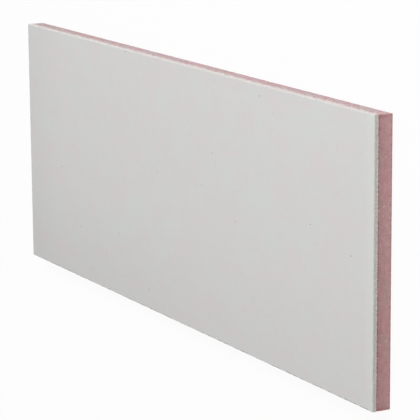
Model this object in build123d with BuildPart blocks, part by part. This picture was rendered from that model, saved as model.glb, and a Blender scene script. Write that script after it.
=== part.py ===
from build123d import *
import os

# Insulated drywall sheet: a square-edge plasterboard facing bonded to a rigid foam core.
# All sizes are in millimetres. The sheet lies flat on its foam back, plasterboard face up.
# X runs along the length, Y across the width and Z up through the thickness.
# The origin is the middle of the foam's back face.

# Outline that both layers are cut to
sheet_length = 2400.0
sheet_width = 900.0

# Plasterboard facing. Its lining paper is folded round the two long edges,
# so the arrises along the length are rounded, while both ends are cut square.
board_thickness = 12.5
board_arris_radius = 1.5

# Foam core. Its back arrises are slightly blunted by handling.
foam_thickness = 50.0
foam_arris_radius = 0.8

# Where the layers meet: the foam's front face is the plasterboard's seat.
bond_height = foam_thickness
face_height = bond_height + board_thickness

# Section planes look along the length and stand at the sheet's left end.
left_end = -sheet_length / 2
end_plane = Plane.YZ.offset(left_end)

# Foam core: the full outline in plan, with the back arrises eased all round.
with BuildPart() as foam_core:
    with BuildSketch(Plane.XY):
        Rectangle(sheet_length, sheet_width)
    extrude(amount=bond_height)
    back_arrises = foam_core.faces().sort_by(Axis.Z)[0].edges()
    fillet(back_arrises, radius=foam_arris_radius)

# Plasterboard facing: one section with its four folded arrises, run along the length.
with BuildPart() as plasterboard_facing:
    with BuildSketch(end_plane) as board_section:
        with Locations((0, (bond_height + face_height) / 2)):
            Rectangle(sheet_width, board_thickness)
        fillet(board_section.vertices(), radius=board_arris_radius)
    extrude(amount=sheet_length)

foam_core.part.label = "foam_core"
plasterboard_facing.part.label = "plasterboard_facing"

os.makedirs("parts", exist_ok=True)
export_step(foam_core.part, "parts/foam_core.step")
export_step(plasterboard_facing.part, "parts/plasterboard_facing.step")
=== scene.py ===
"""Looks of the insulated drywall sheet: cut faces, finishes, studio and camera.

The sheet is a plasterboard facing on a thick pinkish foam. It lies on its foam back.
Lengths are in metres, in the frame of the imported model: X along the sheet, Y across it
and Z up, out of the plasterboard's face.
"""

from __future__ import annotations

import logging
import math
from collections.abc import Callable
from dataclasses import dataclass
from enum import Enum
from functools import cached_property
from typing import ClassVar

import bmesh
import bpy
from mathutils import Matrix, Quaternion, Vector, noise
from mathutils.geometry import delaunay_2d_cdt

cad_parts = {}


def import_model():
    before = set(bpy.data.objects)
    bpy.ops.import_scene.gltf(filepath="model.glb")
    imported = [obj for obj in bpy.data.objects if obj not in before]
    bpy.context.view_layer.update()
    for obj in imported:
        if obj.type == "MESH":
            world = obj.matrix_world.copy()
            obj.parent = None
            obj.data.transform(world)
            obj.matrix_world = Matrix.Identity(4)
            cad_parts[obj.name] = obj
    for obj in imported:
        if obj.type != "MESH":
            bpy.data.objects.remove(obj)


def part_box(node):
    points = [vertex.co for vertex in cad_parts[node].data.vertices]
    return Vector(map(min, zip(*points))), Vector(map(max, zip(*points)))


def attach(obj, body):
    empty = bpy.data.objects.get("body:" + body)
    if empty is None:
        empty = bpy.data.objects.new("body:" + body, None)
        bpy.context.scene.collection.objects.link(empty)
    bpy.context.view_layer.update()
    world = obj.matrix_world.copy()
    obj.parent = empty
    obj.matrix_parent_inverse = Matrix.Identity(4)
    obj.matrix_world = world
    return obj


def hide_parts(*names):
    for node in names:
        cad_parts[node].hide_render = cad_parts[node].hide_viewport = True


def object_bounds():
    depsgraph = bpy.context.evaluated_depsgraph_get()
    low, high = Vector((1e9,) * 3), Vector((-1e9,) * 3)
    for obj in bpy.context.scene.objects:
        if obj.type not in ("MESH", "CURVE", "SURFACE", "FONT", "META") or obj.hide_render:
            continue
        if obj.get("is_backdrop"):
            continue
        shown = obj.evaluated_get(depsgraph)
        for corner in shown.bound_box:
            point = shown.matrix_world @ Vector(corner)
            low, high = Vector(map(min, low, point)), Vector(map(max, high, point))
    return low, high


log = logging.getLogger("drywall_sheet")

MM = 0.001
BODY = "root"

# Numbers of the mix node's colour sockets, which share their names with its other sockets
MIX_UNDER = 6
MIX_OVER = 7
MIX_RESULT = 2

# The triangulation keeps what lies inside the outline, and takes two points this near as one
KEEP_INSIDE = 1
SAME_POINT = 1e-7

# Cells in a metre of height, for patterns that hardly change across a level line
LEVEL_CELLS = 10

Triple = tuple[float, float, float]
Colour = Triple
Socket = bpy.types.NodeSocket
Loop = list[bmesh.types.BMVert]


class Layer(Enum):
    """The two bonded layers, by the names of their nodes."""

    PLASTERBOARD = "plasterboard_facing"
    FOAM = "foam_core"


class Slot(Enum):
    """Material slots of the record, one for each layer."""

    PAPER = "board_paper"
    FOAM = "pink_foam"


class Sum(Enum):
    """Sums that a finish is worked out with."""

    TIMES = "MULTIPLY"
    PLUS = "ADD"
    MINUS = "SUBTRACT"
    OVER = "DIVIDE"
    LARGER = "MAXIMUM"
    EXCEEDS = "GREATER_THAN"
    SIZE = "ABSOLUTE"


class Laying(Enum):
    """How one colour is laid on another."""

    COVER = "MIX"
    DARKEN = "MULTIPLY"


class Spread(Enum):
    """How cells lie: through the whole piece, or the same at every height."""

    SOLID = "3D"
    FLAT = "2D"


class Facing(Enum):
    """Axis that a flat face looks along, as the number of that part of a place."""

    X = 0
    Z = 2


def srgb(red: int, green: int, blue: int) -> Colour:
    """Turns a colour as seen on a screen, 0 to 255, into the linear one that a shader takes."""
    parts = (red / 255, green / 255, blue / 255)
    return tuple(p / 12.92 if p <= 0.04045 else ((p + 0.055) / 1.055) ** 2.4 for p in parts)


def clamped(value: float) -> float:
    """Holds a value between 0 and 1."""
    return min(1.0, max(0.0, value))


def even(per_metre: float) -> Triple:
    """Gives a pattern as many cells in a metre along every axis."""
    return (per_metre, per_metre, per_metre)


@dataclass(frozen=True)
class Fade:
    """Smooth change of strength from at_start to at_end, while something goes from start to end."""

    start: float
    end: float
    at_start: float = 0.0
    at_end: float = 1.0


@dataclass(frozen=True)
class Line:
    """Soft level line: its distance from a face, how far it fades out, and the share that is full."""

    distance: float
    reach: float
    full: float = 0.4


@dataclass(frozen=True)
class Clouds:
    """Soft uneven pattern, about 0.5 on average: cells in a metre along X, Y and Z, and finer layers."""

    per_metre: Triple
    layers: float = 2.0
    rough: float = 0.5


@dataclass(frozen=True)
class Patches:
    """Uneven patches: the clouds that they follow, and how strong they are where the clouds are."""

    clouds: Clouds
    cover: Fade


@dataclass(frozen=True)
class Spots:
    """Round spots of one radius, each in a cell of its own, in a share of the cells.

    A spot is solid over a share of its radius, and choice is how softly cells are picked.
    """

    per_metre: float
    radius: float
    share: float
    strength: float
    spread: Spread = Spread.SOLID
    solid: float = 0.5
    choice: float = 0.04


@dataclass(frozen=True)
class Grain:
    """Uneven relief of a mesh: its cells in a metre along X, Y and Z, and how its layers get finer."""

    per_metre: Triple
    smooth: float
    layers: int
    finer: float = 2.0

    def at(self, x: float, y: float, z: float) -> float:
        """Gives the relief at a place, about -1 to 1."""
        spot = Vector([part * scale for part, scale in zip((x, y, z), self.per_metre)])
        return noise.fractal(spot, self.smooth, self.finer, self.layers)


def level_breaks(per_metre: float, gaps: float) -> Patches:
    """Patches that let a level line fade away wherever their clouds are lower than gaps."""
    clouds = Clouds((per_metre, per_metre, LEVEL_CELLS), rough=0.6)
    return Patches(clouds, Fade(gaps, gaps + 0.1, at_start=0.1))


def level_beads(per_metre: float, faint: float, full: float) -> Patches:
    """Patches that turn about a third of a level line into beads, with a faint line between them."""
    clouds = Clouds((per_metre, per_metre, LEVEL_CELLS), layers=1.0)
    return Patches(clouds, Fade(0.54, 0.58, faint, full))


class NodeWork:
    """Work with the nodes of one tree."""

    tree: bpy.types.NodeTree

    def add(self, kind: str) -> bpy.types.Node:
        """Adds a node of the given kind."""
        return self.tree.nodes.new(kind)

    def join(self, source: Socket, target: Socket) -> None:
        """Links one socket to another."""
        self.tree.links.new(source, target)

    def put(self, value: Socket | float | Colour, target: Socket) -> None:
        """Links a socket, or sets a plain number or colour.

        Args:
            value: What goes in.
            target: The input that takes it.
        """
        if isinstance(value, Socket):
            self.join(value, target)
        elif isinstance(value, tuple):
            target.default_value = (*value, 1.0)
        else:
            target.default_value = value

    def work_out(self, way: Sum, first: Socket | float, second: Socket | float = 0.0) -> Socket:
        """Works out one number from two, or from the first alone.

        Args:
            way: The sum.
            first: The first number.
            second: The second number.

        Returns:
            The result.
        """
        step = self.add("ShaderNodeMath")
        step.operation = way.value
        self.put(first, step.inputs[0])
        self.put(second, step.inputs[1])
        return step.outputs[0]

    def times(self, first: Socket, *others: Socket | float) -> Socket:
        """Multiplies numbers in turn.

        Args:
            first: The first number.
            *others: The numbers that it is multiplied by.

        Returns:
            The product.
        """
        product = first
        for other in others:
            product = self.work_out(Sum.TIMES, product, other)
        return product


@dataclass(frozen=True)
class Finish(NodeWork):
    """Finish of a piece that lies between two corners, worked out in its material's node tree."""

    low: Vector
    high: Vector

    name: ClassVar[str]

    @cached_property
    def material(self) -> bpy.types.Material:
        """Makes the material.

        Returns:
            The material, still plain.
        """
        material = bpy.data.materials.new(self.name)
        material.use_nodes = True
        return material

    @cached_property
    def tree(self) -> bpy.types.NodeTree:
        """Node tree of the material."""
        return self.material.node_tree

    @cached_property
    def place(self) -> Socket:
        """Place on the piece in metres."""
        return self.add("ShaderNodeTexCoord").outputs["Object"]

    @cached_property
    def axes(self) -> bpy.types.NodeOutputs:
        """Splits the place on the piece.

        Returns:
            The sockets of its three parts, named X, Y and Z.
        """
        split = self.add("ShaderNodeSeparateXYZ")
        self.join(self.place, split.inputs[0])
        return split.outputs

    @cached_property
    def from_side(self) -> Socket:
        """Distance in from the nearer long side."""
        return self.work_out(Sum.MINUS, self.high.y, self.work_out(Sum.SIZE, self.axes["Y"]))

    @cached_property
    def from_end(self) -> Socket:
        """Distance in from the nearer sawn end."""
        return self.work_out(Sum.MINUS, self.high.x, self.work_out(Sum.SIZE, self.axes["X"]))

    @cached_property
    def from_left(self) -> Socket:
        """Distance in from the sawn end that faces -X."""
        return self.work_out(Sum.MINUS, self.axes["X"], self.low.x)

    @cached_property
    def from_right(self) -> Socket:
        """Distance in from the sawn end that faces +X."""
        return self.work_out(Sum.MINUS, self.high.x, self.axes["X"])

    @cached_property
    def under_face(self) -> Socket:
        """Depth below the layer's upper face."""
        return self.work_out(Sum.MINUS, self.high.z, self.axes["Z"])

    @cached_property
    def over_back(self) -> Socket:
        """Height above the layer's lower face."""
        return self.work_out(Sum.MINUS, self.axes["Z"], self.low.z)

    @cached_property
    def along(self) -> Socket:
        """Place along the sheet, from -1 at one sawn end to 1 at the other."""
        return self.work_out(Sum.OVER, self.axes["X"], self.high.x)

    @cached_property
    def across(self) -> Socket:
        """Place across the sheet, from -1 at the -Y long side to 1 at the +Y one."""
        return self.work_out(Sum.OVER, self.axes["Y"], self.high.y)

    def pattern(self, kind: str, per_metre: Triple) -> bpy.types.Node:
        """Adds a pattern's node, at the pattern's own scale.

        Args:
            kind: The kind of node.
            per_metre: Cells in a metre along X, Y and Z.

        Returns:
            The node.
        """
        scale = self.add("ShaderNodeVectorMath")
        scale.operation = "MULTIPLY"
        self.join(self.place, scale.inputs[0])
        scale.inputs[1].default_value = per_metre
        node = self.add(kind)
        self.join(scale.outputs[0], node.inputs["Vector"])
        node.inputs["Scale"].default_value = 1.0
        return node

    def clouds(self, look: Clouds) -> Socket:
        """Makes a soft uneven pattern.

        Args:
            look: Its size and layers.

        Returns:
            The pattern's value, 0 to 1.
        """
        node = self.pattern("ShaderNodeTexNoise", look.per_metre)
        node.inputs["Detail"].default_value = look.layers
        node.inputs["Roughness"].default_value = look.rough
        return node.outputs[0]

    def patches(self, look: Patches, raised: Socket | None = None) -> Socket:
        """Makes uneven patches.

        Args:
            look: Their size, cover and strength.
            raised: What the clouds are raised by to spread the patches, if anything.

        Returns:
            How strong the patches are at each point.
        """
        value = self.clouds(look.clouds)
        if raised is not None:
            value = self.work_out(Sum.PLUS, value, raised)
        return self.fade(value, look.cover)

    def cells(self, per_metre: Triple, spread: Spread = Spread.SOLID) -> bpy.types.Node:
        """Makes a pattern of cells.

        Args:
            per_metre: Cells in a metre along X, Y and Z.
            spread: How the cells lie.

        Returns:
            The node, which gives each point's distance to its cell and the cell's own colour.
        """
        node = self.pattern("ShaderNodeTexVoronoi", per_metre)
        node.voronoi_dimensions = spread.value
        return node

    def spots(self, look: Spots) -> Socket:
        """Scatters round spots.

        Args:
            look: Their size, number and strength.

        Returns:
            How strong the spots are at each point.
        """
        node = self.cells(even(look.per_metre), look.spread)
        reach = look.radius * look.per_metre
        spot = self.fade(node.outputs["Distance"], Fade(look.solid * reach, reach, 1.0, 0.0))
        split = self.add("ShaderNodeSeparateColor")
        self.join(node.outputs["Color"], split.inputs[0])
        empty = 1 - look.share
        chosen = self.fade(split.outputs[0], Fade(empty, empty + look.choice))
        return self.times(spot, chosen, look.strength)

    def fade(self, value: Socket, look: Fade) -> Socket:
        """Turns a value smoothly into a strength, which holds beyond both ends.

        Args:
            value: What goes in.
            look: The value's range, and the strength at both its ends.

        Returns:
            The strength.
        """
        ramp = self.add("ShaderNodeMapRange")
        ramp.interpolation_type = "SMOOTHSTEP"
        self.join(value, ramp.inputs["Value"])
        ramp.inputs["From Min"].default_value = look.start
        ramp.inputs["From Max"].default_value = look.end
        ramp.inputs["To Min"].default_value = look.at_start
        ramp.inputs["To Max"].default_value = look.at_end
        return ramp.outputs["Result"]

    def line(self, from_face: Socket, look: Line) -> Socket:
        """Draws a soft level line by the distance from a face: 1 on the line, and 0 away from it."""
        off = self.work_out(Sum.SIZE, self.work_out(Sum.MINUS, from_face, look.distance))
        return self.fade(off, Fade(look.full * look.reach, look.reach, 1.0, 0.0))

    def mix(
        self,
        share: Socket | float,
        under: Socket | Colour,
        over: Socket | Colour,
        laying: Laying = Laying.COVER,
    ) -> Socket:
        """Lays one colour on another.

        Args:
            share: How much of the upper colour shows.
            under: The lower colour.
            over: The upper colour.
            laying: How it is laid on.

        Returns:
            The mixed colour.
        """
        node = self.add("ShaderNodeMix")
        node.data_type = "RGBA"
        node.blend_type = laying.value
        self.put(share, node.inputs[0])
        self.put(under, node.inputs[MIX_UNDER])
        self.put(over, node.inputs[MIX_OVER])
        return node.outputs[MIX_RESULT]

    def coat(self, colour: Socket | Colour, *coats: tuple[Socket | float, Colour]) -> Socket:
        """Lays colours on a surface in turn.

        Args:
            colour: The surface's colour.
            *coats: How much of each colour shows, and the colour.

        Returns:
            The colour with all of them on it.
        """
        for share, tone in coats:
            colour = self.mix(share, colour, tone)
        return colour

    def relief(self, height: Socket, depth: float, under: Socket | None = None) -> Socket:
        """Makes fine relief from a pattern.

        Args:
            height: The pattern, where 1 stands highest.
            depth: Height of the relief in metres.
            under: Relief that this one lies on, if there is one.

        Returns:
            The normal that carries the relief.
        """
        bump = self.add("ShaderNodeBump")
        bump.inputs["Distance"].default_value = depth
        self.join(height, bump.inputs["Height"])
        if under is not None:
            self.join(under, bump.inputs["Normal"])
        return bump.outputs["Normal"]

    def dress(
        self, colour: Socket, roughness: Socket, gloss: float, normal: Socket
    ) -> bpy.types.Material:
        """Hands the finished patterns to the shader.

        Args:
            colour: The surface's colour.
            roughness: How rough it is.
            gloss: How strongly it reflects, where 0.5 is plain plastic.
            normal: Its fine relief.

        Returns:
            The finished material.
        """
        shader = self.tree.nodes["Principled BSDF"].inputs
        self.join(colour, shader["Base Color"])
        self.join(roughness, shader["Roughness"])
        shader["Specular IOR Level"].default_value = gloss
        self.join(normal, shader["Normal"])
        return self.material


@dataclass(frozen=True)
class LiningPaper(Finish):
    """Grey lining paper of the plasterboard: faint clouds, fibres, flecks, worn edges and a painted
    highlight along the folds of its long edges.
    """

    cool: Colour = srgb(211, 213, 210)
    warm: Colour = srgb(213, 209, 208)
    blue: Colour = srgb(211, 210, 212)
    fibre: Colour = srgb(199, 197, 194)
    fleck: Colour = srgb(104, 101, 96)
    soiling: Colour = srgb(160, 159, 155)
    scuff: Colour = srgb(226, 225, 223)
    fold_highlight: Colour = srgb(230, 225, 221)
    flank: Colour = srgb(211, 206, 203)
    faded: Colour = srgb(217, 220, 213)

    warm_patches: Patches = Patches(Clouds((9, 16, 9), 4.0, 0.65), Fade(0.36, 0.64))
    blue_patches: Patches = Patches(Clouds((8, 14, 8), 3.0, 0.6), Fade(0.38, 0.62, 0.0, 0.3))
    dark_flecks: Spots = Spots(13, 2.7 * MM, 0.07, 0.9, Spread.FLAT)
    fine_flecks: Spots = Spots(80, 0.7 * MM, 0.04, 0.6, Spread.FLAT)
    soft_smudges: Spots = Spots(16, 9 * MM, 0.1, 0.045, Spread.FLAT)

    left_cut: Fade = Fade(7 * MM, 17 * MM, 1.0, 0.0)
    right_cut: Fade = Fade(9 * MM, 3 * MM)
    faded_end: Fade = Fade(60 * MM, 15 * MM, 0.0, 0.35)
    handled_end: Fade = Fade(0.0, 300 * MM, 0.07, 0.0)
    cut_scuffs: Patches = Patches(Clouds((38, 60, 60), rough=0.6), Fade(0.5, 0.62, 0.0, 0.3))
    cut_dirt: Patches = Patches(Clouds((45, 90, 90), rough=0.6), Fade(0.5, 0.6, 0.0, 0.16))

    face: Fade = Fade(0.6 * MM, 0.2 * MM)
    lower_half: Fade = Fade(-0.5, 0.5, 1.0, 0.0)
    # Reach, spread, breaks and side weighting of the painted highlight along the folds
    fold_reach: Fade = Fade(0.4 * MM, 1.8 * MM, 1.0, 0.0)
    fold_along: Fade = Fade(-1.0, 1.0, 0.9, 0.25)
    highlight_by_side: Fade = Fade(0.0, 1.0, 1.0, 0.4)
    fold_wander: Patches = Patches(Clouds((45, 8, 8), 3.0, 0.7), Fade(0.36, 0.64, 0.0, 1.6 * MM))
    highlight_breaks: Patches = Patches(Clouds((60, 8, 8), rough=0.6), Fade(0.44, 0.54, 0.1, 1.0))
    flank_share: float = 0.8
    flank_soiling: Fade = Fade(-1.0, 1.0, 0.0, 0.16)
    darker_across: Fade = Fade(-1.0, -0.1, 0.12, 0.0)
    darker_along: Fade = Fade(-1.0, 1.0, 1.0, 0.4)
    dirt_reach: Fade = Fade(2.6 * MM, 4.2 * MM, 1.0, 0.0)
    dirt_stood_on: Fade = Fade(0.0, 1.0, 0.12, 0.9)
    dirt_on_face: Fade = Fade(0.0, 1.0, 0.4, 1.0)
    side_dirt: Patches = Patches(Clouds((45, 90, 90), rough=0.6), Fade(0.47, 0.56))

    fibres: Clouds = Clouds((420, 1100, 1100), 3.0, 0.6)
    fibre_shade: Fade = Fade(0.52, 0.75, 0.0, 0.55)
    fibre_depth: float = 0.05 * MM
    pulp: Clouds = Clouds((900, 1600, 1600))
    pulp_depth: float = 0.03 * MM
    roughness: Fade = Fade(0.3, 0.7, 0.94, 0.84)
    gloss: float = 0.25

    name: ClassVar[str] = "lining_paper"

    @cached_property
    def on_face(self) -> Socket:
        """1 on the board's face, and 0 on its flanks."""
        return self.fade(self.under_face, self.face)

    @cached_property
    def minus_y_side(self) -> Socket:
        """1 beside the -Y long side, and 0 beside the +Y one."""
        return self.fade(self.across, self.lower_half)

    def make(self) -> bpy.types.Material:
        """Makes the finish.

        Returns:
            The material.
        """
        fibres = self.clouds(self.fibres)
        flecks = (self.dark_flecks, self.fine_flecks, self.soft_smudges)
        colour = self.coat(
            self.cool,
            (self.patches(self.warm_patches), self.warm),
            (self.patches(self.blue_patches), self.blue),
            (self.fade(fibres, self.fibre_shade), self.fibre),
            *((self.times(self.on_face, self.spots(look)), self.fleck) for look in flecks),
        )
        colour = self.soiled_sides(self.folded_sides(self.worn_ends(colour)))
        roughness = self.fade(fibres, self.roughness)
        pulp = self.relief(self.clouds(self.pulp), self.pulp_depth)
        return self.dress(colour, roughness, self.gloss, self.relief(fibres, self.fibre_depth, pulp))

    def worn_ends(self, colour: Socket) -> Socket:
        """Pales the paper towards one sawn end, soils it towards the other, and scuffs both cuts.

        Args:
            colour: The paper's colour without it.

        Returns:
            The paper's colour with it.
        """
        left_cut = self.fade(self.from_left, self.left_cut)
        at_cut = self.work_out(Sum.LARGER, left_cut, self.fade(self.from_right, self.right_cut))
        return self.coat(
            colour,
            (self.fade(self.from_right, self.faded_end), self.faded),
            (self.fade(self.from_left, self.handled_end), self.soiling),
            (self.times(at_cut, self.patches(self.cut_scuffs)), self.scuff),
            (self.times(at_cut, self.patches(self.cut_dirt)), self.soiling),
        )

    def folded_sides(self, colour: Socket) -> Socket:
        """Paints a broken highlight on the face along the paper folded round the long sides, strongest on
        the +Y side and towards the -X end, and tones the flanks.

        Args:
            colour: The paper's colour without them.

        Returns:
            The paper's colour with them.
        """
        from_fold = self.work_out(Sum.MINUS, self.from_side, self.patches(self.fold_wander))
        # Painted highlight: a pale broken line on the face along each fold
        highlight_share = self.times(
            self.fade(from_fold, self.fold_reach),
            self.fade(self.along, self.fold_along),
            self.patches(self.highlight_breaks),
            self.fade(self.minus_y_side, self.highlight_by_side),
        )
        soiled = self.fade(self.along, self.flank_soiling)
        flank = self.coat(colour, (self.flank_share, self.flank), (soiled, self.soiling))
        return self.mix(self.on_face, flank, self.mix(highlight_share, colour, self.fold_highlight))

    def soiled_sides(self, colour: Socket) -> Socket:
        """Darkens the paper towards the -Y side and the -X end, and soils the long sides, most on the -Y
        side.

        Args:
            colour: The paper's colour without it.

        Returns:
            The paper's colour with it.
        """
        # Darker towards the -Y side and towards the -X end
        darkening = self.fade(self.across, self.darker_across)
        darkening = self.times(darkening, self.fade(self.along, self.darker_along))
        dirt = self.times(
            self.fade(self.from_side, self.dirt_reach),
            self.fade(self.minus_y_side, self.dirt_stood_on),
            self.fade(self.on_face, self.dirt_on_face),
            self.patches(self.side_dirt),
        )
        return self.coat(colour, (darkening, self.soiling), (dirt, self.soiling))


@dataclass(frozen=True)
class CutGypsum(Finish):
    """Gypsum on the sawn ends of the board: pale, dusty and full of small air holes."""

    body: Colour = srgb(218, 213, 207)
    dust: Colour = srgb(223, 218, 212)
    hole: Colour = srgb(154, 153, 145)
    seam: Colour = srgb(203, 203, 196)
    torn_paper: Colour = srgb(240, 229, 221)

    dust_patches: Patches = Patches(Clouds((60, 60, 200), 3.0, 0.6), Fade(0.35, 0.7))
    seam_line: Line = Line(7 * MM, 5.4 * MM)
    seam_breaks: Patches = level_breaks(60, 0.3)
    hole_shade: Fade = Fade(0.12, 0.28, 0.8, 0.0)
    crumbled: Patches = Patches(Clouds(even(160), rough=0.7), Fade(0.45, 0.65, 0.0, 0.3))
    torn_line: Line = Line(1 * MM, 2 * MM)
    torn_beads: Patches = level_beads(190, 0.05, 0.7)

    holes_per_metre: float = 650
    hole_depth: float = 0.35 * MM
    grit: Clouds = Clouds(even(1500), 3.0, 0.7)
    grit_depth: float = 0.12 * MM
    roughness: Fade = Fade(0.0, 1.0, 0.9, 0.98)
    gloss: float = 0.2

    name: ClassVar[str] = "cut_gypsum"

    def make(self) -> bpy.types.Material:
        """Makes the finish.

        Returns:
            The material.
        """
        dusty = self.patches(self.dust_patches)
        seam = self.times(self.line(self.under_face, self.seam_line), self.patches(self.seam_breaks))
        torn = self.times(self.line(self.over_back, self.torn_line), self.patches(self.torn_beads))
        holes = self.cells(even(self.holes_per_metre)).outputs["Distance"]
        colour = self.coat(
            self.body,
            (dusty, self.dust),
            (seam, self.seam),
            (self.fade(holes, self.hole_shade), self.hole),
            (self.patches(self.crumbled), self.hole),
            (torn, self.torn_paper),
        )
        roughness = self.fade(dusty, self.roughness)
        grit = self.relief(self.clouds(self.grit), self.grit_depth)
        return self.dress(colour, roughness, self.gloss, self.relief(holes, self.hole_depth, grit))


@dataclass(frozen=True)
class FoamMottling:
    """Tones of one kind of foam surface: greyish bands on pink, with deep streaks over them."""

    pink: Colour
    grey: Colour
    deep: Colour
    bands: Patches
    streaks: Patches


@dataclass(frozen=True)
class RigidFoam(Finish):
    """Fine-celled pinkish foam: paler and greyer on its flanks, stronger in colour on its fresh cut ends.
    """

    flank: FoamMottling = FoamMottling(
        pink=srgb(191, 166, 167),
        grey=srgb(181, 176, 172),
        deep=srgb(194, 149, 158),
        bands=Patches(Clouds((18, 13, 24), 3.0, 0.6), Fade(0.42, 0.62, 0.0, 0.95)),
        streaks=Patches(Clouds((25, 20, 60)), Fade(0.52, 0.7, 0.0, 0.75)),
    )
    cut: FoamMottling = FoamMottling(
        pink=srgb(218, 171, 173),
        grey=srgb(208, 176, 170),
        deep=srgb(211, 154, 163),
        bands=Patches(Clouds((14, 14, 32), 3.0, 0.6), Fade(0.36, 0.64)),
        streaks=Patches(Clouds((22, 22, 70)), Fade(0.54, 0.74, 0.0, 0.6)),
    )
    violet: Colour = srgb(186, 163, 184)
    shade_towards_board: Colour = srgb(225, 216, 222)
    pit: Colour = srgb(140, 104, 106)
    glue_and_shadow: Colour = srgb(90, 84, 82)
    bruise_and_shade: Colour = srgb(168, 112, 112)
    crumb: Colour = srgb(232, 202, 192)
    saw_dust: Colour = srgb(203, 177, 174)
    crushed: Colour = srgb(186, 122, 134)
    paper_dust: Colour = srgb(214, 207, 203)

    end_reach: Fade = Fade(2.5 * MM, 3.5 * MM, 1.0, 0.0)
    corner_reach: Fade = Fade(3 * MM, 8 * MM, 1.0, 0.0)
    greyer_to_board: Fade = Fade(0.0, 1.0, 0.0, 0.1)
    violet_patches: Patches = Patches(Clouds((15, 14, 30)), Fade(0.42, 0.58, 0.0, 0.32))
    dusty_end: Fade = Fade(60 * MM, 10 * MM, 0.0, 0.7)
    cut_shade: Patches = Patches(Clouds((45, 45, 100), 3.0, 0.65), Fade(0.36, 0.64, 0.0, 0.19))
    crushed_reach: Fade = Fade(4 * MM, 16 * MM, 0.85, 0.0)
    crushed_patches: Patches = Patches(Clouds((60, 60, 75), rough=0.6), Fade(0.4, 0.58, 0.3, 1.0))
    shaded_minus_y_side: Fade = Fade(-1.0, 0.4, 0.1, 0.0)

    dust_depth: Patches = Patches(Clouds((70, 70, 10), rough=0.7), Fade(0.4, 0.6, 3 * MM, 12 * MM))
    dust_edge: Fade = Fade(0.5 * MM, 2.5 * MM, 1.0, 0.0)
    drift_line: Line = Line(0.0, 16 * MM)
    drift_breaks: Patches = level_breaks(45, 0.42)
    drift_strength: float = 0.4
    # Dark line below the board: partly glue, partly painted shadow in the joint
    glue_shadow_line: Line = Line(2.6 * MM, 2.8 * MM)
    glue_shadow_beads: Patches = level_beads(210, 0.1, 0.7)
    glue_shadow_on_end: Fade = Fade(0.0, 1.0, 0.2, 1.0)
    torn_line: Line = Line(0.0, 1.8 * MM)
    torn_beads: Patches = level_beads(190, 0.1, 0.9)
    back_line: Line = Line(5.5 * MM, 4 * MM)
    back_beads: Patches = level_beads(110, 0.15, 0.6)
    crumbling: Patches = Patches(Clouds(even(130), rough=0.7), Fade(0.46, 0.56))
    worn_on_end: Fade = Fade(0.0, 1.0, 0.5, 0.85)
    loose_line: Line = Line(7 * MM, 2.6 * MM)
    loose_breaks: Patches = level_breaks(160, 0.58)
    pale_crumbs: Spots = Spots(60, 3.4 * MM, 0.07, 0.42)

    cells_per_metre: float = 900
    cell_shade: Fade = Fade(0.1, 0.45, 0.28, 0.0)
    cell_depth: float = 0.12 * MM
    voids_per_metre: Triple = (110, 110, 160)
    void_shade: Fade = Fade(0.08, 0.16, 0.7, 0.0)
    void_depth: float = 0.6 * MM
    saw_lines: Clouds = Clouds((60, 60, 700), 3.0, 0.6)
    saw_depth: float = 0.3 * MM
    roughness: Fade = Fade(0.1, 0.6, 0.96, 0.86)
    gloss: float = 0.2

    name: ClassVar[str] = "rigid_foam"

    @cached_property
    def on_end(self) -> Socket:
        """1 on the cut ends, and 0 on the flanks."""
        return self.fade(self.from_end, self.end_reach)

    @cached_property
    def at_corner(self) -> Socket:
        """1 beside the long sides, where the cut ends have their corners, and 0 elsewhere."""
        return self.fade(self.from_side, self.corner_reach)

    @cached_property
    def to_board(self) -> Socket:
        """0 at the foam's back, and 1 at the board."""
        return self.work_out(Sum.OVER, self.over_back, self.high.z - self.low.z)

    def make(self) -> bpy.types.Material:
        """Makes the finish.

        Returns:
            The material.
        """
        cells = self.cells(even(self.cells_per_metre)).outputs["Distance"]
        voids = self.cells(self.voids_per_metre).outputs["Distance"]
        colour = self.coat(
            self.mix(self.on_end, self.flank_colour(), self.cut_colour()),
            (self.fade(cells, self.cell_shade), self.pit),
            (self.fade(voids, self.void_shade), self.pit),
            (self.dusting(), self.paper_dust),
            (self.gluing_and_shading(), self.glue_and_shadow),
            (self.tearing(), self.crumb),
            (self.bruising(), self.bruise_and_shade),
            (self.crumbs(), self.crumb),
        )
        roughness = self.fade(cells, self.roughness)
        fine = self.relief(cells, self.cell_depth)
        sawn = self.relief(self.clouds(self.saw_lines), self.saw_depth, fine)
        return self.dress(colour, roughness, self.gloss, self.relief(voids, self.void_depth, sawn))

    def mottled(self, look: FoamMottling, greyer: Socket | None = None) -> Socket:
        """Mottles one kind of foam surface, whose bands spread further where it is to be greyer."""
        bands = self.patches(look.bands, greyer)
        return self.coat(look.pink, (bands, look.grey), (self.patches(look.streaks), look.deep))

    def flank_colour(self) -> Socket:
        """Colours the flank, paler and greyer than the cut ends: pinker towards the back, and dusty
        beside one sawn end.

        Returns:
            The colour.
        """
        return self.coat(
            self.mottled(self.flank, self.fade(self.to_board, self.greyer_to_board)),
            (self.patches(self.violet_patches), self.violet),
            (self.fade(self.from_right, self.dusty_end), self.saw_dust),
        )

    def cut_colour(self) -> Socket:
        """Colours the fresh cut end: large soft patches, darker towards the corners, and painted shade
        that darkens it towards the board and the -Y side.

        Returns:
            The colour.
        """
        crushed = self.fade(self.from_side, self.crushed_reach)
        colour = self.coat(
            self.mottled(self.cut),
            (self.patches(self.cut_shade), self.pit),
            (self.times(crushed, self.patches(self.crushed_patches)), self.crushed),
            # Painted shade: darker towards the -Y side
            (self.fade(self.across, self.shaded_minus_y_side), self.bruise_and_shade),
        )
        # Painted shade: the cut end darkens from its back up towards the board
        return self.mix(self.to_board, colour, self.shade_towards_board, Laying.DARKEN)

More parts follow.
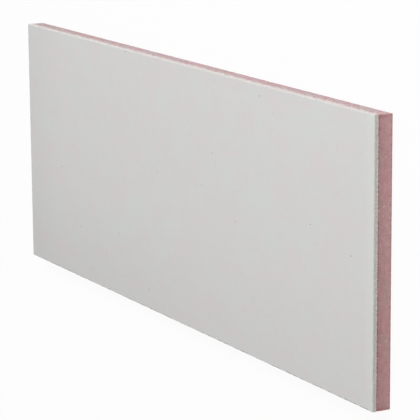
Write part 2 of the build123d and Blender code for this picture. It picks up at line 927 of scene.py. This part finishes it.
    def dusting(self) -> Socket:
        """Scatters pale paper dust on the flanks, ragged below the board.

        Returns:
            How thick the dust is at each point.
        """
        edge = self.work_out(Sum.MINUS, self.under_face, self.patches(self.dust_depth))
        drifts = self.line(self.under_face, self.drift_line)
        drifts = self.times(drifts, self.patches(self.drift_breaks), self.drift_strength)
        dust = self.work_out(Sum.LARGER, self.fade(edge, self.dust_edge), drifts)
        return self.times(dust, self.work_out(Sum.MINUS, 1.0, self.on_end))

    def gluing_and_shading(self) -> Socket:
        """Sets dark beads below the board, partly glue and partly painted shadow in the joint, faint ones
        on the flanks.
        """
        glue_and_shadow = self.line(self.under_face, self.glue_shadow_line)
        return self.times(glue_and_shadow, self.patches(self.glue_shadow_beads), self.fade(self.on_end, self.glue_shadow_on_end))

    def tearing(self) -> Socket:
        """Tears the paper at the joint into pale shreds, on the cut ends alone."""
        torn = self.line(self.under_face, self.torn_line)
        return self.times(torn, self.patches(self.torn_beads), self.on_end)

    def bruising(self) -> Socket:
        """Bruises the corners of the cut ends and the back edge.

        Returns:
            How bruised the foam is at each point.
        """
        crumbled = self.times(self.at_corner, self.patches(self.crumbling))
        at_back = self.times(self.line(self.over_back, self.back_line), self.patches(self.back_beads))
        bruised = self.work_out(Sum.LARGER, crumbled, at_back)
        return self.times(bruised, self.fade(self.on_end, self.worn_on_end))

    def crumbs(self) -> Socket:
        """Scatters pale crumbs over the cut ends, most at the corners and along the back edge.

        Returns:
            How thick the crumbs are at each point.
        """
        loose = self.work_out(Sum.LARGER, self.at_corner, self.line(self.over_back, self.loose_line))
        loose = self.times(loose, self.patches(self.loose_breaks))
        return self.times(self.work_out(Sum.LARGER, loose, self.spots(self.pale_crumbs)), self.on_end)


def fill_rim(
    surface: bmesh.types.BMesh,
    rim: Loop,
    facing: Facing,
    height: Callable[[Vector], float],
    spacing: float,
) -> list[bmesh.types.BMFace]:
    """Closes a flat rim with triangles on an even grid of points.

    Args:
        surface: The mesh that holds the rim.
        rim: The rim's points in order.
        facing: Axis that the closed face looks along.
        height: Gives the height along that axis for a place in the rim's plane.
        spacing: Distance between the grid's points.

    Returns:
        The new faces.
    """
    outline = [Vector([part for axis, part in enumerate(v.co) if axis != facing.value]) for v in rim]
    count = len(outline)
    low = Vector((min(p.x for p in outline), min(p.y for p in outline)))
    size = Vector((max(p.x for p in outline), max(p.y for p in outline))) - low
    columns, rows = (max(2, round(side / spacing)) for side in size)
    inner = [
        low + Vector((size.x * i / columns, size.y * j / rows))
        for i in range(1, columns)
        for j in range(1, rows)
    ]
    edges = [(i, (i + 1) % count) for i in range(count)]
    places, _, triangles, origins, _, _ = delaunay_2d_cdt(
        outline + inner, edges, [], KEEP_INSIDE, SAME_POINT
    )
    points = []
    for place, origin in zip(places, origins):
        on_rim = [i for i in origin if i < count]
        spot = [*place]
        spot.insert(facing.value, height(place))
        points.append(rim[on_rim[0]] if on_rim else surface.verts.new(spot))
    return [surface.faces.new([points[i] for i in triangle]) for triangle in triangles]


def bridge(surface: bmesh.types.BMesh, first: Loop, second: Loop, material: int = 0) -> None:
    """Joins two closed loops with a band of faces, quads or, where a loop stands still, triangles.

    Args:
        surface: The mesh that holds the loops.
        first: The first loop's points in order.
        second: The second loop's points in the same order, some of them repeated.
        material: Number of the material on the band.
    """
    count = len(first)
    for i in range(count):
        k = (i + 1) % count
        corners = [first[i], first[k], second[k]]
        if second[i] is not second[k]:
            corners.append(second[i])
        surface.faces.new(corners).material_index = material


@dataclass
class DressedLayer:
    """One bonded layer of the sheet, modelled between the corners of its solid."""

    low: Vector
    high: Vector

    layer: ClassVar[Layer]
    slot: ClassVar[Slot]
    sharp_degrees: ClassVar[float]

    def shape(self) -> bmesh.types.BMesh:
        """Makes the layer's mesh."""
        raise NotImplementedError

    def finishes(self) -> list[bpy.types.Material]:
        """Makes the layer's materials, in the order of their numbers on the mesh."""
        raise NotImplementedError

    def build(self) -> bpy.types.Object:
        """Makes the layer, dresses it and hands it to the frame.

        Returns:
            The finished piece.
        """
        surface = self.shape()
        bmesh.ops.recalc_face_normals(surface, faces=surface.faces)
        limit = math.radians(self.sharp_degrees)
        for face in surface.faces:
            face.smooth = True
        for edge in surface.edges:
            edge.smooth = edge.calc_face_angle(0.0) < limit
        name = f"{self.layer.value}_dressed"
        mesh = bpy.data.meshes.new(name)
        surface.to_mesh(mesh)
        surface.free()
        for finish in self.finishes():
            mesh.materials.append(finish)
        piece = bpy.data.objects.new(name, mesh)
        bpy.context.scene.collection.objects.link(piece)
        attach(piece, BODY)
        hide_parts(self.layer.value)
        return piece


@dataclass
class PlasterboardFacing(DressedLayer):
    """Plasterboard with paper folded round its long edges and gypsum bare on its sawn ends."""

    arris_radius: float = 1.5 * MM
    arris_steps: int = 5
    face_columns: int = 225
    flank_rows: int = 4
    stations: int = 24
    paper: float = 0.35 * MM
    fray: float = 0.9 * MM
    fray_grain: Grain = Grain((5, 110, 110), 0.7, 3)
    gypsum_clearance: float = 0.08 * MM
    gypsum_set_back: float = 0.3 * MM
    gypsum_relief: float = 0.35 * MM
    gypsum_spacing: float = 1.6 * MM
    gypsum_grain: Grain = Grain((1040, 260, 260), 0.7, 4)

    layer: ClassVar[Layer] = Layer.PLASTERBOARD
    slot: ClassVar[Slot] = Slot.PAPER
    sharp_degrees: ClassVar[float] = 40

    def section(self, inset: float) -> list[Vector]:
        """Draws the outline of the board's section.

        Args:
            inset: How far the outline is moved in from the paper's face.

        Returns:
            Places along Y and Z in order, once round.
        """
        radius = self.arris_radius - inset
        half = self.high.y - self.arris_radius
        top = self.high.z - self.arris_radius
        bottom = self.low.z + self.arris_radius
        arcs = []
        for y, z, start in ((half, top, 0), (-half, top, 90), (-half, bottom, 180), (half, bottom, 270)):
            turns = [math.radians(start + 90 * i / self.arris_steps) for i in range(self.arris_steps + 1)]
            arcs.append([Vector((y + radius * math.cos(t), z + radius * math.sin(t))) for t in turns])
        points = []
        for number, arc in enumerate(arcs):
            run = self.flank_rows if number % 2 else self.face_columns
            goal = arcs[(number + 1) % 4][0]
            points.extend(arc)
            points.extend(arc[-1].lerp(goal, step / run) for step in range(1, run))
        return points

    def loop(self, surface: bmesh.types.BMesh, x: float, inset: float) -> Loop:
        """Adds the section's outline at one place along the sheet."""
        return [surface.verts.new((x, y, z)) for y, z in self.section(inset)]

    def torn_loop(self, surface: bmesh.types.BMesh, out: int, inset: float) -> Loop:
        """Adds the outline of the sawn paper at one end, frayed inwards in places.

        Args:
            surface: The board's mesh.
            out: 1 for the end that faces +X, and -1 for the other.
            inset: How far the outline is moved in from the paper's face.

        Returns:
            The outline's points in order.
        """
        points = self.loop(surface, out * self.high.x, inset)
        for point in points:
            tear = clamped(self.fray_grain.at(out, point.co.y, point.co.z))
            point.co.x -= out * self.fray * tear
        return points

    def close_end(self, surface: bmesh.types.BMesh, rim: Loop, out: int) -> None:
        """Closes a sawn end: the paper's cut edge, then the gypsum a little behind it.

        Args:
            surface: The board's mesh.
            rim: The outline at that end.
            out: 1 for the end that faces +X, and -1 for the other.
        """
        paper_edge = self.torn_loop(surface, out, self.paper)
        bridge(surface, rim, paper_edge)
        gypsum_x = out * (self.high.x - self.gypsum_set_back)
        gypsum_edge = self.loop(surface, gypsum_x, self.paper + self.gypsum_clearance)
        bridge(surface, paper_edge, gypsum_edge, material=1)

        def rough(place: Vector) -> float:
            """Gives the rough gypsum's place along X, at a place along Y and Z."""
            crumble = 0.5 + 0.5 * self.gypsum_grain.at(out, place.x, place.y)
            return gypsum_x - out * self.gypsum_relief * clamped(crumble)

        for face in fill_rim(surface, gypsum_edge, Facing.X, rough, self.gypsum_spacing):
            face.material_index = 1

    def shape(self) -> bmesh.types.BMesh:
        """Runs the section along the sheet and closes both ends.

        Returns:
            The board's mesh.
        """
        surface = bmesh.new()
        length = self.high.x - self.low.x
        loops = [self.torn_loop(surface, -1, 0.0)]
        for i in range(1, self.stations):
            loops.append(self.loop(surface, self.low.x + length * i / self.stations, 0.0))
        loops.append(self.torn_loop(surface, 1, 0.0))
        for first, second in zip(loops, loops[1:]):
            bridge(surface, first, second)
        self.close_end(surface, loops[0], -1)
        self.close_end(surface, loops[-1], 1)
        return surface

    def finishes(self) -> list[bpy.types.Material]:
        """Makes the paper and the gypsum, in the order of their numbers on the mesh."""
        return [finish(self.low, self.high).make() for finish in (LiningPaper, CutGypsum)]


@dataclass
class FoamCore(DressedLayer):
    """Foam slab with sawn, slightly pitted flanks and lightly chipped arrises."""

    station_spacing: float = 3 * MM
    row_spacing: float = 3.2 * MM
    first_row: float = 1.2 * MM
    arris_rows: Triple = (0.0, 0.25, 1.0)
    upper_rows: Triple = (2 * MM, 0.6 * MM, 0.0)
    arris_radius: float = 0.8 * MM
    saw_relief: float = 0.35 * MM
    saw_grain: Grain = Grain((90, 90, 420), 0.8, 3)
    chip_depth: float = 2.2 * MM
    chip_reach: float = 2.6 * MM
    chip_grain: Grain = Grain((55, 55, 1), 0.6, 4, 2.1)
    back_slice: float = 3
    front_slice: float = 5
    whole_arris: float = 0.28
    front_share: float = 0.45
    corner_grain: Grain = Grain((1, 1, 90), 0.6, 4, 2.1)
    whole_corner: float = 0.1
    margin: float = 6 * MM
    weld: float = 0.01 * MM
    back_spacing: float = 40 * MM
    front_spacing: float = 120 * MM

    layer: ClassVar[Layer] = Layer.FOAM
    slot: ClassVar[Slot] = Slot.FOAM
    sharp_degrees: ClassVar[float] = 50

    def perimeter(self) -> list[tuple[Vector, Vector]]:
        """Places points round the sheet's plan, each with the direction that points out of it.

        Returns:
            Pairs of a place in plan and its outward direction, once round.
        """
        low, high = self.low, self.high
        corners = (
            Vector((low.x, low.y)),
            Vector((high.x, low.y)),
            Vector((high.x, high.y)),
            Vector((low.x, high.y)),
        )
        found = []
        for number, start in enumerate(corners):
            run = corners[(number + 1) % 4] - start
            count = round(run.length / self.station_spacing)
            out = Vector((run.y, -run.x)).normalized()
            before = start - corners[number - 1]
            corner_out = out + Vector((before.y, -before.x)).normalized()
            found.append((start, corner_out))
            found.extend((start + run * (i / count), out) for i in range(1, count))
        return found

    def rows(self) -> list[float]:
        """Sets the heights of the flank's rows, closer together at both arrises.

        Returns:
            The heights, from the back face up.
        """
        lower = [self.low.z + share * self.arris_radius for share in self.arris_rows]
        upper = [self.high.z - depth for depth in self.upper_rows]
        start, end = lower[-1] + self.first_row, upper[0] - self.first_row
        count = round((end - start) / self.row_spacing)
        middle = [start + (end - start) * i / count for i in range(count + 1)]
        return lower + middle + upper

    def near(self, distance: float) -> float:
        """Gives 1 on an arris, and fades to 0 over the reach of the chips."""
        return math.exp(-((distance / self.chip_reach) ** 2))

    def chips(self, place: Vector, z: float) -> float:
        """Works out how deep the arrises and corners are chipped at one point.

        Args:
            place: Place in plan.
            z: Height of the point.

        Returns:
            The depth in metres.
        """
        depth = 0.0
        back = (self.low.z, 1.0, self.back_slice)
        front = (self.high.z, self.front_share, self.front_slice)
        for arris, share, slice_z in (back, front):
            crumb = self.chip_grain.at(place.x, place.y, slice_z) - self.whole_arris
            depth += share * max(0.0, crumb) * self.near(z - arris)
        to_corner = self.high.x - abs(place.x) + self.high.y - abs(place.y)
        crumb = self.corner_grain.at(place.x, place.y, z) - self.whole_corner
        return self.chip_depth * (depth + max(0.0, crumb) * self.near(to_corner))

    def set_in(self, place: Vector, z: float) -> float:
        """Works out how far the flank lies inside its full size at one point.

        Args:
            place: Place in plan.
            z: Height of the point.

        Returns:
            The depth in metres.
        """
        radius = self.arris_radius
        below_arris = max(0.0, radius - (z - self.low.z))
        blunt = radius - math.sqrt(max(0.0, radius**2 - below_arris**2))
        sawn = 0.5 + 0.5 * self.saw_grain.at(place.x, place.y, z)
        return blunt + self.saw_relief * clamped(sawn) + self.chips(place, z)

    def inner_ring(self, surface: bmesh.types.BMesh, rim: Loop) -> Loop:
        """Adds a straight ring inside a rim.

        Args:
            surface: The core's mesh.
            rim: The flank's first or last row of points.

        Returns:
            A partner for each point of the rim, where those that fall together share one.
        """
        reach_x = self.high.x - self.margin
        reach_y = self.high.y - self.margin
        made: dict[tuple[int, int], bmesh.types.BMVert] = {}
        ring = []
        for point in rim:
            x = max(-reach_x, min(reach_x, point.co.x))
            y = max(-reach_y, min(reach_y, point.co.y))
            cell = (round(x / self.weld), round(y / self.weld))
            if cell not in made:
                made[cell] = surface.verts.new((x, y, point.co.z))
            ring.append(made[cell])
        return ring

    def close_face(self, surface: bmesh.types.BMesh, rim: Loop, spacing: float) -> None:
        """Closes the front or back face inside its rim.

        Args:
            surface: The core's mesh.
            rim: The flank's first or last row of points.
            spacing: Distance between the face's points.
        """
        z = rim[0].co.z
        ring = self.inner_ring(surface, rim)
        bridge(surface, rim, ring)
        outline = [point for i, point in enumerate(ring) if point is not ring[i - 1]]
        fill_rim(surface, outline, Facing.Z, lambda _: z, spacing)

    def shape(self) -> bmesh.types.BMesh:
        """Stacks the rows of the flank and closes both faces.

        Returns:
            The core's mesh.
        """
        surface = bmesh.new()
        perimeter = self.perimeter()
        loops = []
        for z in self.rows():
            spots = [place - out * self.set_in(place, z) for place, out in perimeter]
            loops.append([surface.verts.new((spot.x, spot.y, z)) for spot in spots])
        for first, second in zip(loops, loops[1:]):
            bridge(surface, first, second)
        self.close_face(surface, loops[0], self.back_spacing)
        self.close_face(surface, loops[-1], self.front_spacing)
        return surface

    def finishes(self) -> list[bpy.types.Material]:
        """Makes the foam's one material."""
        return [RigidFoam(self.low, self.high).make()]


@dataclass(frozen=True)
class SoftLamp:
    """Soft lamp beside the sheet, which faces the sheet's middle."""

    name: str
    place: Triple
    power: float
    width: float
    height: float

    def hang(self) -> None:
        """Adds the lamp to the scene, out of the camera's sight."""
        lamp = bpy.data.lights.new(self.name, "AREA")
        lamp.energy = self.power
        lamp.shape = "RECTANGLE"
        lamp.size = self.width
        lamp.size_y = self.height
        holder = bpy.data.objects.new(self.name, lamp)
        holder.location = self.place
        holder.rotation_mode = "QUATERNION"
        holder.rotation_quaternion = (-holder.location).to_track_quat("-Z", "Y")
        holder.visible_camera = False
        bpy.context.scene.collection.objects.link(holder)


@dataclass
class StudioTree(NodeWork):
    """Node tree of the floor or the sky."""

    tree: bpy.types.NodeTree

    def seen(self) -> Socket:
        """Tells whether a ray from the camera, a gloss or a clear piece meets the surface.

        Returns:
            1 where it does, and 0 where light is only scattered.
        """
        rays = self.add("ShaderNodeLightPath").outputs
        seen = self.work_out(Sum.LARGER, rays["Is Camera Ray"], rays["Is Glossy Ray"])
        return self.work_out(Sum.LARGER, seen, rays["Is Transmission Ray"])

    def choose(self, share: Socket, first: Socket | float, second: Socket | float) -> Socket:
        """Goes from one number to another.

        Args:
            share: 0 for the first number, and 1 for the second.
            first: The first number.
            second: The second number.

        Returns:
            The number between them.
        """
        choice = self.add("ShaderNodeMapRange")
        self.put(share, choice.inputs["Value"])
        self.put(first, choice.inputs["To Min"])
        self.put(second, choice.inputs["To Max"])
        return choice.outputs["Result"]


@dataclass(frozen=True)
class Studio:
    """Plain pale floor and even sky, with soft lamps that light each side of the sheet.

    The strip stands lower than the sheet's face, so it only lights the two sides away from the others.
    """

    floor_half: float = 40.0
    lap: float = 3 * MM
    floor_colour: Colour = (0.8, 0.8, 0.8)
    background_share: float = 0.94
    white: Colour = (1.0, 1.0, 1.0)
    sky: float = 0.45
    sky_below: float = 1.0
    lamps: tuple[SoftLamp, ...] = (
        SoftLamp("key", (1.05, 6.43, 6.0), 554.0, 3.4, 3.4),
        SoftLamp("fill", (5.5, 2.4, 1.2), 29.0, 1.6, 1.6),
        SoftLamp("strip", (-4.0, -5.0, 0.03), 140.0, 4.0, 0.05),
    )

    def floor_finish(self) -> bpy.types.Material:
        """Makes a floor that looks white and still takes the sheet's shadow.

        Returns:
            The material.
        """
        finish = bpy.data.materials.new("studio_floor")
        finish.use_nodes = True
        finish.node_tree.nodes.clear()
        tree = StudioTree(finish.node_tree)
        matt = tree.add("ShaderNodeBsdfDiffuse")
        tree.put(self.floor_colour, matt.inputs["Color"])
        mix = tree.add("ShaderNodeMixShader")
        tree.join(tree.times(tree.seen(), self.background_share), mix.inputs[0])
        tree.join(matt.outputs[0], mix.inputs[1])
        tree.join(tree.add("ShaderNodeEmission").outputs[0], mix.inputs[2])
        tree.join(mix.outputs[0], tree.add("ShaderNodeOutputMaterial").inputs["Surface"])
        return finish

    def lay_floor(self, low: Vector, high: Vector) -> None:
        """Lays the floor round the sheet, open under it so that its back shows from below.

        Args:
            low: The sheet's lowest corner.
            high: The sheet's highest corner.
        """
        half = self.floor_half
        left, right = low.x + self.lap, high.x - self.lap
        near, far = low.y + self.lap, high.y - self.lap
        outer = [(-half, -half), (half, -half), (half, half), (-half, half)]
        inner = [(left, near), (right, near), (right, far), (left, far)]
        corners = [(x, y, low.z) for x, y in outer + inner]
        sides = [(i, (i + 1) % 4, 4 + (i + 1) % 4, 4 + i) for i in range(4)]
        mesh = bpy.data.meshes.new("floor")
        mesh.from_pydata(corners, [], sides)
        mesh.materials.append(self.floor_finish())
        floor = bpy.data.objects.new("floor", mesh)
        bpy.context.scene.collection.objects.link(floor)
        floor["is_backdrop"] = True

    def make_sky(self) -> None:
        """Lights the sheet evenly from all round, its back through the floor, on a white background."""
        world = bpy.data.worlds.new("studio_sky")
        world.use_nodes = True
        bpy.context.scene.world = world
        tree = StudioTree(world.node_tree)
        background = world.node_tree.nodes["Background"]
        tree.put(self.white, background.inputs["Color"])
        split = tree.add("ShaderNodeSeparateXYZ")
        tree.join(tree.add("ShaderNodeTexCoord").outputs["Generated"], split.inputs[0])
        above = tree.work_out(Sum.EXCEEDS, split.outputs["Z"])
        light = tree.choose(above, self.sky_below, self.sky)
        tree.join(tree.choose(tree.seen(), light, 1.0), background.inputs["Strength"])

    def build(self, low: Vector, high: Vector) -> None:
        """Sets up the floor, the sky and the lamps.

        Args:
            low: The sheet's lowest corner.
            high: The sheet's highest corner.
        """
        self.lay_floor(low, high)
        self.make_sky()
        for lamp in self.lamps:
            lamp.hang()
        bpy.context.scene.view_settings.view_transform = "Standard"


@dataclass(frozen=True)
class PhotoCamera:
    """Camera at the photo's viewing angle, rolled so that the sheet's width stands upright."""

    aim: Triple = (0.2115, -0.0134, 0.0625)
    distance: float = 7.565
    azimuth: float = 13.83
    elevation: float = 28.39
    roll: float = -97.11
    lens_mm: float = 195.54
    sensor_mm: float = 36.0
    nearest: float = 0.1
    farthest: float = 200.0

    def place(self) -> None:
        """Sets the camera up as the scene's own."""
        azimuth, elevation = math.radians(self.azimuth), math.radians(self.elevation)
        flat = math.cos(elevation)
        back = Vector((math.cos(azimuth) * flat, math.sin(azimuth) * flat, math.sin(elevation)))
        lens = bpy.data.cameras.new("photo_camera")
        lens.lens = self.lens_mm
        lens.sensor_width = self.sensor_mm
        lens.clip_start = self.nearest
        lens.clip_end = self.farthest
        camera = bpy.data.objects.new("photo_camera", lens)
        camera.location = Vector(self.aim) + back * self.distance
        camera.rotation_mode = "QUATERNION"
        level = (-back).to_track_quat("-Z", "Y")
        camera.rotation_quaternion = level @ Quaternion((0, 0, 1), math.radians(self.roll))
        bpy.context.scene.collection.objects.link(camera)
        bpy.context.scene.camera = camera


def report(piece: bpy.types.Object) -> None:
    """Logs a piece's size and how many triangles it has.

    Args:
        piece: The finished piece.
    """
    size = ", ".join(f"{side / MM:.1f}" for side in piece.dimensions)
    triangles = sum(len(face.vertices) - 2 for face in piece.data.polygons)
    log.info("%s: %s mm, %d triangles", piece.name, size, triangles)


def main() -> None:
    """Builds the dressed sheet, the studio and the camera, in that order."""
    logging.basicConfig(level=logging.INFO, format="%(message)s")
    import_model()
    cad_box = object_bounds()
    for layer in (PlasterboardFacing, FoamCore):
        report(layer(*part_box(layer.layer.value)).build())
    Studio().build(*cad_box)
    PhotoCamera().place()


if __name__ == "__main__":
    main()
